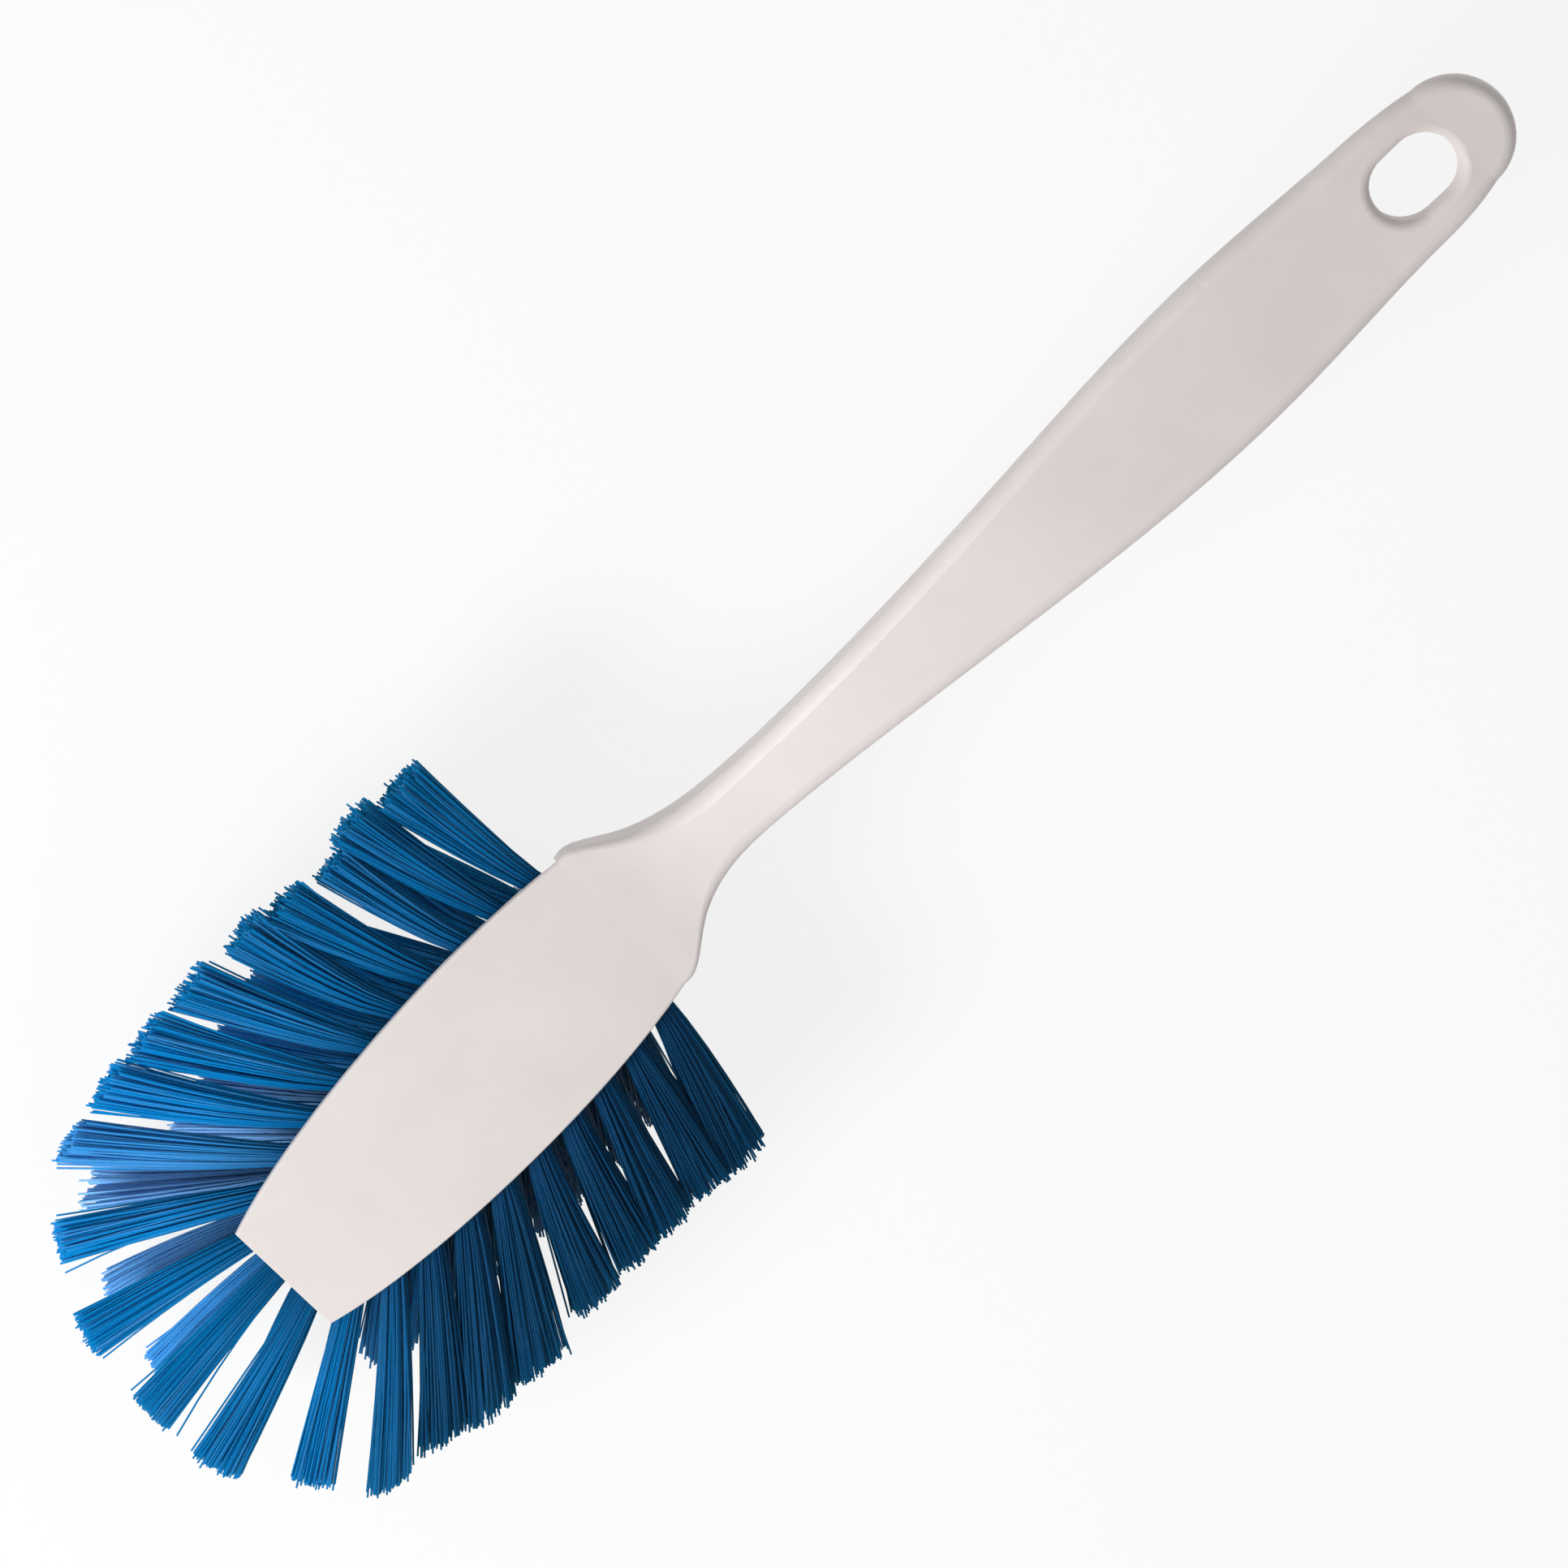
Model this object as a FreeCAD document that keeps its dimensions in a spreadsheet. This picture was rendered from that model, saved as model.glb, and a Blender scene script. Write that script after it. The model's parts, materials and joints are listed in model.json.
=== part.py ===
import FreeCAD, Part
import math
import os

import Sketcher

os.makedirs("parts", exist_ok=True)
doc = FreeCAD.newDocument("dish_brush")

# Driving sizes in millimetres and degrees. X runs from the scraping edge to the handle's end, Z is up.
SIZES = {
    # Widths of the moulding at the stations along it, seen from above
    "tip_width": 20.0,
    "nose_width": 26.3,
    "fore_width": 29.8,
    "crown_width": 31.0,
    "rear_width": 28.8,
    "shoulder_width": 27.2,
    "hip_width": 24.6,
    "waist_width": 18.3,
    "throat_width": 13.9,
    "neck_width": 11.0,
    "lift_width": 12.9,
    "flare_width": 16.9,
    "grip_width": 21.4,
    "belly_width": 23.9,
    "taper_width": 21.3,
    "end_width": 18.7,
    # Distance of each station from the one before it
    "nose_span": 14.0,
    "fore_span": 16.0,
    "crown_span": 18.0,
    "rear_span": 19.0,
    "shoulder_span": 6.0,
    "hip_span": 4.5,
    "waist_span": 4.5,
    "throat_span": 5.0,
    "neck_span": 13.5,
    "lift_span": 19.5,
    "flare_span": 24.0,
    "grip_span": 24.0,
    "belly_span": 32.0,
    "taper_span": 27.5,
    "end_span": 14.0,
    # Height of the top above the head's flat back, and the slope of the straight handle
    "trim_allowance": 0.12,
    "waist_top": 0.2,
    "throat_top": 1.1,
    "neck_top": 5.3,
    "lift_top": 12.1,
    "flare_top": 19.4,
    "grip_top": 24.9,
    "handle_slope": 8.8,
    # Depth of the moulding from its top down
    "plate_depth": 1.8,
    "shoulder_depth": 4.4,
    "hip_depth": 6.2,
    "waist_depth": 7.4,
    "throat_depth": 8.4,
    "neck_depth": 8.2,
    "lift_depth": 7.6,
    "flare_depth": 7.2,
    "grip_depth": 6.7,
    "taper_depth": 6.0,
    "end_depth": 5.0,
    "rim_radius": 0.5,
    "grip_radius": 2.0,
    # Block under the head plate that holds the tufts: an upper flank, a lower flank and a flat sole
    "block_overhang": 2.0,
    "block_length": 74.0,
    "upper_flank_drop": 8.1,
    "lower_flank_drop": 5.2,
    "block_front_radius": 2.0,
    "block_rear_radius": 4.0,
    # Obround slot to hang the brush by
    "slot_length": 14.4,
    "slot_width": 10.8,
    "slot_setback": 7.8,
    "slot_edge_radius": 1.5,
    # Tuft holes, tufts and anchors
    "hole_diameter": 3.8,
    "outer_hole_depth": 4.4,
    "middle_hole_depth": 4.0,
    "centre_hole_depth": 6.0,
    "tuft_clearance": 0.05,
    "tuft_collar": 2.4,
    "outer_tip_diameter": 7.0,
    "middle_tip_diameter": 7.0,
    "centre_tip_diameter": 6.2,
    "anchor_length": 4.6,
    "anchor_height": 1.6,
    "anchor_thickness": 0.4,
    "anchor_lift": 1.0,
    # Places of the tuft rows on the block
    "side_first": 14.4,
    "side_last": 68.5,
    "corner_setback": 7.6,
    "nose_pitch": 5.9,
    "middle_nose_pitch": 5.8,
    "centre_first": 26.3,
    "centre_last": 63.6,
    "centre_gauge": 5.2,
    "centre_nose_setback": 17.0,
    # Free length of the tufts from the mouths of their holes
    "front_length": 36.8,
    "rear_length": 28.1,
    "corner_length": 33.2,
    "nose_length": 31.1,
    "middle_nose_length": 32.2,
    "centre_length": 23.6,
    # Direction of the tufts: dip below the horizontal, sweep from straight sideways towards the nose
    "outer_dip": 3.0,
    "middle_dip": 30.0,
    "centre_dip": 86.0,
    "centre_nose_dip": 76.0,
    "rear_sweep": 12.0,
    "front_sweep": 43.0,
    "corner_sweep": 56.0,
    "middle_extra_sweep": 7.0,
    "nose_fan": 17.5,
    "middle_nose_fan": 20.0,
    "overrun": 4.0,
}
SIDE_TUFTS = 9
CENTRE_TUFTS = 6
MIDDLE_LENGTH_SHARE = 0.84
STAGGER_SHARE = 0.72
RIM_SEARCH_SHARE = 0.01
RIM_SEARCH_POINTS = 5

HEAD_STATIONS = ("tip", "nose", "fore", "crown", "rear")
HANDLE_STATIONS = (
    "shoulder", "hip", "waist", "throat", "neck", "lift", "flare", "grip", "belly", "taper", "end",
)
STATIONS = HEAD_STATIONS + HANDLE_STATIONS
# How much of the trim allowance stands above the head's flat back before it is cut flat
TRIM_SHARES = {
    "tip": 1.0, "nose": 0.8, "fore": 0.575, "crown": 0.32, "rear": 0.05, "shoulder": -0.35, "hip": -0.2,
}
# How far the edge rounding has grown from the rim's radius to the grip's
ROUNDING_SHARES = {"shoulder": 0.15, "hip": 0.35, "waist": 0.6}

sheet = doc.addObject("Spreadsheet::Sheet", "sizes")
for row, (alias, value) in enumerate(SIZES.items(), start=1):
    sheet.set(f"A{row}", alias)
    sheet.set(f"B{row}", str(value))
    sheet.setAlias(f"B{row}", alias)
doc.recompute()


def size(alias):
    return float(sheet.get(alias))


def cell(alias):
    return f"sizes.{alias}"


def origin_plane(body, role):
    return next(feature for feature in body.Origin.OriginFeatures if feature.Role == role)


def attached_sketch(body, name, role):
    sketch = body.newObject("Sketcher::SketchObject", name)
    sketch.AttachmentSupport = [(origin_plane(body, role), "")]
    sketch.MapMode = "FlatFace"
    return sketch


def bind_constraint(sketch, name, constraint, expression):
    index = sketch.addConstraint(constraint)
    sketch.renameConstraint(index, name)
    sketch.setExpression(f"Constraints.{name}", expression)


# Stations along the moulding: expressions and values of their place, top, depth and edge radius

def station_place(station):
    passed = STATIONS[1:STATIONS.index(station) + 1]
    return " + ".join([cell(f"{name}_span") for name in passed] or ["0"])


def station_at(station):
    passed = STATIONS[1:STATIONS.index(station) + 1]
    return sum(size(f"{name}_span") for name in passed)


def station_top(station):
    if station in TRIM_SHARES:
        return f"{cell('trim_allowance')} * ({TRIM_SHARES[station]})"
    if f"{station}_top" in SIZES:
        return cell(f"{station}_top")
    straight = STATIONS[STATIONS.index("grip") + 1:STATIONS.index(station) + 1]
    run = " + ".join(cell(f"{name}_span") for name in straight)
    return f"{cell('grip_top')} + ({run}) * tan({cell('handle_slope')} * 1 deg)"


def station_depth(station):
    if f"{station}_depth" in SIZES:
        return cell(f"{station}_depth")
    return cell("grip_depth")


def station_radius(station):
    if station in HEAD_STATIONS:
        return cell("rim_radius")
    share = ROUNDING_SHARES.get(station, 1.0)
    return f"{cell('rim_radius')} + ({cell('grip_radius')} - {cell('rim_radius')}) * {share}"


def number(expression):
    return float(sheet.evalExpression(expression))


def place_section(sketch, station):
    sketch.setExpression("AttachmentOffset.Base.z", station_place(station))
    sketch.setExpression("AttachmentOffset.Base.y", station_top(station))
    if station == STATIONS[-1]:
        tilt = FreeCAD.Rotation(FreeCAD.Vector(1, 0, 0), -size("handle_slope"))
        sketch.AttachmentOffset = FreeCAD.Placement(sketch.AttachmentOffset.Base, tilt)
        sketch.setExpression("AttachmentOffset.Rotation.Angle", f"-1 * {cell('handle_slope')}")


def rounded_section(body, name, station, depth_expression):
    """Cross-section of the moulding, a rectangle with rounded corners that hangs from its top."""
    sketch = attached_sketch(body, f"{name}_{station}", "YZ_Plane")
    place_section(sketch, station)
    half = size(f"{station}_width") / 2
    depth = number(depth_expression)
    radius = number(station_radius(station))
    corners = [
        (half - radius, -radius, 0, 90), (radius - half, -radius, 90, 180),
        (radius - half, radius - depth, 180, 270), (half - radius, radius - depth, 270, 360),
    ]
    up = FreeCAD.Vector(0, 0, 1)
    arcs = []
    for across, height, start, stop in corners:
        circle = Part.Circle(FreeCAD.Vector(across, height, 0), up, radius)
        arc = Part.ArcOfCircle(circle, math.radians(start), math.radians(stop))
        arcs.append(sketch.addGeometry(arc, False))
    sides = []
    for first, second in zip(arcs, arcs[1:] + arcs[:1]):
        line = Part.LineSegment(sketch.getPoint(first, 2), sketch.getPoint(second, 1))
        sides.append(sketch.addGeometry(line, False))
    for arc, before, after in zip(arcs, sides[-1:] + sides[:-1], sides):
        sketch.addConstraint(Sketcher.Constraint("Tangent", before, 2, arc, 1))
        sketch.addConstraint(Sketcher.Constraint("Tangent", arc, 2, after, 1))
    top, left, bottom, right = sides
    for other in arcs[1:]:
        sketch.addConstraint(Sketcher.Constraint("Equal", arcs[0], other))
    sketch.addConstraint(Sketcher.Constraint("Symmetric", top, 1, top, 2, -2))
    sketch.addConstraint(Sketcher.Constraint("PointOnObject", top, 1, -1))
    sketch.addConstraint(Sketcher.Constraint("Horizontal", bottom))
    sketch.addConstraint(Sketcher.Constraint("Vertical", left))
    sketch.addConstraint(Sketcher.Constraint("Vertical", right))
    width = Sketcher.Constraint("DistanceX", left, 1, right, 1, 2 * half)
    bind_constraint(sketch, "width", width, cell(f"{station}_width"))
    height = Sketcher.Constraint("DistanceY", bottom, 1, top, 1, depth)
    bind_constraint(sketch, "depth", height, depth_expression)
    rounding = Sketcher.Constraint("Radius", arcs[0], radius)
    bind_constraint(sketch, "radius", rounding, station_radius(station))
    return sketch


def half_section(body, station):
    """Right half of a cross-section, closed along its upright axis, to be turned into the round end."""
    sketch = attached_sketch(body, f"half_section_{station}", "YZ_Plane")
    place_section(sketch, station)
    half = size(f"{station}_width") / 2
    depth = number(station_depth(station))
    radius = number(station_radius(station))
    up = FreeCAD.Vector(0, 0, 1)
    lower = Part.Circle(FreeCAD.Vector(half - radius, radius - depth, 0), up, radius)
    upper = Part.Circle(FreeCAD.Vector(half - radius, -radius, 0), up, radius)
    lower_arc = sketch.addGeometry(Part.ArcOfCircle(lower, math.radians(270), math.radians(360)), False)
    upper_arc = sketch.addGeometry(Part.ArcOfCircle(upper, 0, math.radians(90)), False)
    corners = [
        (FreeCAD.Vector(0, -depth, 0), sketch.getPoint(lower_arc, 1)),
        (sketch.getPoint(lower_arc, 2), sketch.getPoint(upper_arc, 1)),
        (sketch.getPoint(upper_arc, 2), FreeCAD.Vector(0, 0, 0)),
        (FreeCAD.Vector(0, 0, 0), FreeCAD.Vector(0, -depth, 0)),
    ]
    bottom, side, top, axis = [sketch.addGeometry(Part.LineSegment(*ends), False) for ends in corners]
    joints = [(bottom, lower_arc), (lower_arc, side), (side, upper_arc), (upper_arc, top)]
    for first, second in joints:
        sketch.addConstraint(Sketcher.Constraint("Tangent", first, 2, second, 1))
    sketch.addConstraint(Sketcher.Constraint("Coincident", top, 2, axis, 1))
    sketch.addConstraint(Sketcher.Constraint("Coincident", axis, 2, bottom, 1))
    sketch.addConstraint(Sketcher.Constraint("Coincident", axis, 1, -1, 1))
    sketch.addConstraint(Sketcher.Constraint("Vertical", axis))
    sketch.addConstraint(Sketcher.Constraint("Horizontal", top))
    sketch.addConstraint(Sketcher.Constraint("Horizontal", bottom))
    sketch.addConstraint(Sketcher.Constraint("Vertical", side))
    sketch.addConstraint(Sketcher.Constraint("Equal", lower_arc, upper_arc))
    reach = Sketcher.Constraint("DistanceX", axis, 1, side, 1, half)
    bind_constraint(sketch, "reach", reach, f"{cell(f'{station}_width')} / 2")
    height = Sketcher.Constraint("DistanceY", axis, 2, axis, 1, depth)
    bind_constraint(sketch, "depth", height, station_depth(station))
    rounding = Sketcher.Constraint("Radius", upper_arc, radius)
    bind_constraint(sketch, "radius", rounding, station_radius(station))
    return sketch


# Plan of the tuft block: the head's side arc through the tip and crown widths, moved inward

HEAD_SWELL = f"(({cell('crown_width')} - {cell('tip_width')}) / 2)"
CROWN_PLACE = f"({station_place('crown')})"
SIDE_RADIUS = f"(({CROWN_PLACE} ^ 2 + {HEAD_SWELL} ^ 2) / (2 * {HEAD_SWELL}))"
PLATE_INSET = cell("block_overhang")
WAIST_INSET = f"{PLATE_INSET} + {cell('upper_flank_drop')} * tan({cell('outer_dip')} * 1 deg)"
SOLE_INSET = f"{WAIST_INSET} + {cell('lower_flank_drop')} * tan({cell('middle_dip')} * 1 deg)"
WAIST_DROP = f"{cell('plate_depth')} + {cell('upper_flank_drop')}"
SOLE_DROP = f"{WAIST_DROP} + {cell('lower_flank_drop')}"

side_radius = number(SIDE_RADIUS)
crown_at = station_at("crown")
arc_offset = side_radius - size("crown_width") / 2


def block_plan(body, name, drop, inset_expression):
    """Closed plan of the tuft block at one level: nose line, side arcs, rear line and round corners."""
    sketch = attached_sketch(body, name, "XY_Plane")
    sketch.setExpression("AttachmentOffset.Base.z", f"-1 * ({drop})")
    inset = number(inset_expression)
    radius = side_radius - inset
    front = inset
    rear = size("block_length") - inset
    up = FreeCAD.Vector(0, 0, 1)

    def corner(line_at, inward, corner_radius):
        """Centre of a corner arc that touches a cross line and the left side arc, and where it touches."""
        centre_x = line_at + inward * corner_radius
        centre_y = math.sqrt((radius - corner_radius) ** 2 - (centre_x - crown_at) ** 2) - arc_offset
        centre = FreeCAD.Vector(centre_x, centre_y, 0)
        middle = FreeCAD.Vector(crown_at, -arc_offset, 0)
        on_arc = middle + (centre - middle).normalize() * radius
        return centre, FreeCAD.Vector(line_at, centre_y, 0), on_arc

    def mirrored(point):
        return FreeCAD.Vector(point.x, -point.y, 0)

    def arc_between(centre, start, stop, arc_radius):
        angles = [math.atan2(point.y - centre.y, point.x - centre.x) for point in (start, stop)]
        return Part.ArcOfCircle(Part.Circle(centre, up, arc_radius), *angles)

    front_radius = size("block_front_radius")
    rear_radius = size("block_rear_radius")
    front_centre, front_line, front_arc = corner(front, 1, front_radius)
    rear_centre, rear_line, rear_arc = corner(rear, -1, rear_radius)
    middle = FreeCAD.Vector(crown_at, -arc_offset, 0)
    outline = [
        Part.LineSegment(mirrored(rear_line), rear_line),
        arc_between(rear_centre, rear_line, rear_arc, rear_radius),
        arc_between(middle, rear_arc, front_arc, radius),
        arc_between(front_centre, front_arc, front_line, front_radius),
        Part.LineSegment(front_line, mirrored(front_line)),
        arc_between(mirrored(front_centre), mirrored(front_line), mirrored(front_arc), front_radius),
        arc_between(mirrored(middle), mirrored(front_arc), mirrored(rear_arc), radius),
        arc_between(mirrored(rear_centre), mirrored(rear_arc), mirrored(rear_line), rear_radius),
    ]
    rear_edge, rear_left, left, front_left, front_edge, front_right, right, rear_right = [
        sketch.addGeometry(piece, False) for piece in outline
    ]
    ring = [rear_edge, rear_left, left, front_left, front_edge, front_right, right, rear_right]
    for first, second in zip(ring, ring[1:] + ring[:1]):
        sketch.addConstraint(Sketcher.Constraint("Tangent", first, 2, second, 1))
    sketch.addConstraint(Sketcher.Constraint("Vertical", rear_edge))
    sketch.addConstraint(Sketcher.Constraint("Symmetric", left, 3, right, 3, -1))
    sketch.addConstraint(Sketcher.Constraint("Equal", left, right))
    sketch.addConstraint(Sketcher.Constraint("Equal", front_left, front_right))
    sketch.addConstraint(Sketcher.Constraint("Equal", rear_left, rear_right))
    bound = [
        ("front", ("DistanceX", -1, 1, front_edge, 1, front), inset_expression),
        ("rear", ("DistanceX", -1, 1, rear_edge, 1, rear), f"{cell('block_length')} - ({inset_expression})"),
        ("crown", ("DistanceX", -1, 1, left, 3, crown_at), CROWN_PLACE),
        ("offset", ("DistanceY", left, 3, -1, 1, arc_offset), f"{SIDE_RADIUS} - {cell('crown_width')} / 2"),
        ("side", ("Radius", left, radius), f"{SIDE_RADIUS} - ({inset_expression})"),
        ("front_corner", ("Radius", front_left, front_radius), cell("block_front_radius")),
        ("rear_corner", ("Radius", rear_left, rear_radius), cell("block_rear_radius")),
    ]
    for constraint_name, terms, expression in bound:
        bind_constraint(sketch, constraint_name, Sketcher.Constraint(*terms), expression)
    return sketch


def rectangle_sketch(body, name, front, rear, half_width):
    """Rectangle on the level of the head's back. Each side is an expression along X or Y."""
    sketch = attached_sketch(body, name, "XY_Plane")
    ends = number(front), number(rear)
    half = number(half_width)
    corners = [(ends[0], -half), (ends[1], -half), (ends[1], half), (ends[0], half)]
    points = [FreeCAD.Vector(along, across, 0) for along, across in corners]
    sides = [
        sketch.addGeometry(Part.LineSegment(first, second), False)
        for first, second in zip(points, points[1:] + points[:1])
    ]
    for first, second in zip(sides, sides[1:] + sides[:1]):
        sketch.addConstraint(Sketcher.Constraint("Coincident", first, 2, second, 1))
    sketch.addConstraint(Sketcher.Constraint("Horizontal", sides[0]))
    sketch.addConstraint(Sketcher.Constraint("Vertical", sides[1]))
    sketch.addConstraint(Sketcher.Constraint("Horizontal", sides[2]))
    sketch.addConstraint(Sketcher.Constraint("Symmetric", sides[3], 1, sides[3], 2, -1))
    bound = [
        ("front", ("DistanceX", sides[0], 1, -1, 1, -ends[0]), f"-1 * ({front})"),
        ("rear", ("DistanceX", -1, 1, sides[0], 2, ends[1]), rear),
        ("width", ("DistanceY", sides[1], 1, sides[1], 2, 2 * half), f"2 * ({half_width})"),
    ]
    for constraint_name, terms, expression in bound:
        bind_constraint(sketch, constraint_name, Sketcher.Constraint(*terms), expression)
    return sketch


def obround_sketch(body, name, centre, length, width):
    """Obround on the X axis, two straight sides and two half circles."""
    sketch = attached_sketch(body, name, "XY_Plane")
    middle = number(centre)
    radius = number(width) / 2
    reach = number(length) / 2 - radius
    up = FreeCAD.Vector(0, 0, 1)
    near = Part.Circle(FreeCAD.Vector(middle - reach, 0, 0), up, radius)
    far = Part.Circle(FreeCAD.Vector(middle + reach, 0, 0), up, radius)
    near_arc = sketch.addGeometry(Part.ArcOfCircle(near, math.radians(90), math.radians(270)), False)
    far_arc = sketch.addGeometry(Part.ArcOfCircle(far, math.radians(-90), math.radians(90)), False)
    lower_line = Part.LineSegment(sketch.getPoint(near_arc, 2), sketch.getPoint(far_arc, 1))
    upper_line = Part.LineSegment(sketch.getPoint(far_arc, 2), sketch.getPoint(near_arc, 1))
    lower = sketch.addGeometry(lower_line, False)
    upper = sketch.addGeometry(upper_line, False)
    ring = [near_arc, lower, far_arc, upper]
    for first, second in zip(ring, ring[1:] + ring[:1]):
        sketch.addConstraint(Sketcher.Constraint("Tangent", first, 2, second, 1))
    sketch.addConstraint(Sketcher.Constraint("PointOnObject", near_arc, 3, -1))
    sketch.addConstraint(Sketcher.Constraint("PointOnObject", far_arc, 3, -1))
    bound = [
        ("near", ("DistanceX", -1, 1, near_arc, 3, middle - reach), f"{centre} - ({length} - {width}) / 2"),
        ("far", ("DistanceX", -1, 1, far_arc, 3, middle + reach), f"{centre} + ({length} - {width}) / 2"),
        ("radius", ("Radius", near_arc, radius), f"{width} / 2"),
    ]
    for constraint_name, terms, expression in bound:
        bind_constraint(sketch, constraint_name, Sketcher.Constraint(*terms), expression)
    return sketch


def slot_rims(shape, middle, half_length, half_width):
    """Names of the edges that run round the slot where its wall meets the handle's two faces."""
    rims = []
    for index, edge in enumerate(shape.Edges, start=1):
        box = edge.BoundBox
        off_wall = []
        for point in edge.discretize(Number=RIM_SEARCH_POINTS):
            along = max(abs(point.x - middle) - (half_length - half_width), 0)
            off_wall.append(abs(math.hypot(along, point.y) - half_width))
        upright = box.ZLength > max(box.XLength, box.YLength)
        if max(off_wall) < half_width * RIM_SEARCH_SHARE and not upright:
            rims.append(f"Edge{index}")
    return rims


# The moulding: head plate, neck and handle, a round end, the tuft block and the hang slot

body = doc.addObject("PartDesign::Body", "moulding")
plate_sections = [
    rounded_section(body, "plate", station, cell("plate_depth")) for station in HEAD_STATIONS + ("shoulder",)
]
handle_sections = [
    rounded_section(body, "handle", station, station_depth(station)) for station in HANDLE_STATIONS
]
doc.recompute()

plate = body.newObject("PartDesign::AdditiveLoft", "head_plate")
plate.Profile = plate_sections[0]
plate.Sections = plate_sections[1:]
doc.recompute()

neck_and_handle = body.newObject("PartDesign::AdditiveLoft", "neck_and_handle")
neck_and_handle.Profile = handle_sections[0]
neck_and_handle.Sections = handle_sections[1:]
doc.recompute()

end_sketch = half_section(body, STATIONS[-1])
doc.recompute()
round_end = body.newObject("PartDesign::Revolution", "round_end")
round_end.Profile = end_sketch
round_end.ReferenceAxis = (end_sketch, ["V_Axis"])
round_end.Angle = 180
round_end.Reversed = True
doc.recompute()

levels = [
    block_plan(body, "block_top", f"{cell('plate_depth')} / 2", PLATE_INSET),
    block_plan(body, "block_root", cell("plate_depth"), PLATE_INSET),
    block_plan(body, "block_waist", WAIST_DROP, WAIST_INSET),
    block_plan(body, "block_sole", SOLE_DROP, SOLE_INSET),
]
doc.recompute()
block = body.newObject("PartDesign::AdditiveLoft", "tuft_block")
block.Profile = levels[0]
block.Sections = levels[1:]
block.Ruled = True
doc.recompute()

# The head's back is trimmed to a true plane, from the scraping edge to the shoulder
back_sketch = rectangle_sketch(
    body, "back_plan", f"-1 * {cell('overrun')}", station_place("shoulder"),
    f"{cell('crown_width')} / 2 + {cell('overrun')}",
)
doc.recompute()
flat_back = body.newObject("PartDesign::Pocket", "flat_back")
flat_back.Profile = back_sketch
flat_back.setExpression("Length", cell("overrun"))
flat_back.Reversed = True
doc.recompute()

SLOT_PLACE = f"({station_place('end')} - {cell('slot_setback')})"
slot_sketch = obround_sketch(body, "slot_plan", SLOT_PLACE, cell("slot_length"), cell("slot_width"))
doc.recompute()
slot = body.newObject("PartDesign::Pocket", "hang_slot")
slot.Profile = slot_sketch
slot.Type = "ThroughAll"
slot.SideType = "Symmetric"
doc.recompute()

rims = slot_rims(slot.Shape, number(SLOT_PLACE), size("slot_length") / 2, size("slot_width") / 2)
slot_edge = body.newObject("PartDesign::Fillet", "slot_edge")
slot_edge.Base = (slot, rims)
slot_edge.setExpression("Radius", cell("slot_edge_radius"))
doc.recompute()

# Tufts: where each hole opens on the block, which way it points and how far the bristles stand out

def flank_edge(along, inset):
    """Half the block's width at a place along the head and an inset from the plate's edge."""
    radius = side_radius - inset
    return math.sqrt(radius ** 2 - (along - crown_at) ** 2) - arc_offset


def aim(plan_angle, dip):
    """Direction of a tuft: plan angle from the nose direction towards +Y, dip below the horizontal."""
    turn = math.radians(plan_angle)
    drop = math.radians(dip)
    return FreeCAD.Vector(-math.cos(turn) * math.cos(drop), math.sin(turn) * math.cos(drop), -math.sin(drop))


def between(first, last, share):
    return first + (last - first) * share


def tuft(name, mouth, plan_angle, row, length, dip=None):
    """What places one tuft. Its free length is an expression on the sheet."""
    direction = aim(plan_angle, size(dip or f"{row}_dip"))
    return {"name": name, "mouth": FreeCAD.Vector(*mouth), "aim": direction, "row": row, "length": length}


def side_length(share):
    """Free length of a side tuft: short at the rear, growing faster towards the nose."""
    return f"({cell('rear_length')} + ({cell('front_length')} - {cell('rear_length')}) * {share ** 2})"


outer_inset = (number(PLATE_INSET) + number(WAIST_INSET)) / 2
middle_inset = (number(WAIST_INSET) + number(SOLE_INSET)) / 2
outer_level = -(size("plate_depth") + number(WAIST_DROP)) / 2
middle_level = -(number(WAIST_DROP) + number(SOLE_DROP)) / 2
sole_level = -number(SOLE_DROP)

tufts = []
for side, hand in (("left", 1), ("right", -1)):
    for index in range(SIDE_TUFTS):
        share = index / (SIDE_TUFTS - 1)
        along = between(size("side_last"), size("side_first"), share)
        sweep = between(size("rear_sweep"), size("front_sweep"), share)
        mouth = (along, hand * flank_edge(along, outer_inset), outer_level)
        turn = hand * (90 - sweep)
        tufts.append(tuft(f"tuft_{side}_{index + 1}", mouth, turn, "outer", side_length(share)))
    along = size("corner_setback")
    mouth = (along, hand * flank_edge(along, outer_inset), outer_level)
    turn = hand * (90 - size("corner_sweep"))
    tufts.append(tuft(f"tuft_corner_{side}", mouth, turn, "outer", cell("corner_length")))

    for index in range(SIDE_TUFTS):
        share = (index + STAGGER_SHARE) / (SIDE_TUFTS - 1)
        sweep = between(size("rear_sweep"), size("front_sweep"), share) + size("middle_extra_sweep")
        step_in = (middle_inset - outer_inset) * math.tan(math.radians(sweep))
        along = between(size("side_last"), size("side_first"), share) + step_in
        mouth = (along, hand * flank_edge(along, middle_inset), middle_level)
        turn = hand * (90 - sweep)
        length = f"{side_length(share)} * {MIDDLE_LENGTH_SHARE}"
        tufts.append(tuft(f"tuft_middle_{side}_{index + 1}", mouth, turn, "middle", length))

    for index in range(CENTRE_TUFTS):
        along = between(size("centre_last"), size("centre_first"), index / (CENTRE_TUFTS - 1))
        mouth = (along, hand * size("centre_gauge") / 2, sole_level)
        name = f"tuft_centre_{side}_{index + 1}"
        tufts.append(tuft(name, mouth, hand * 90, "centre", cell("centre_length")))

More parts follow.
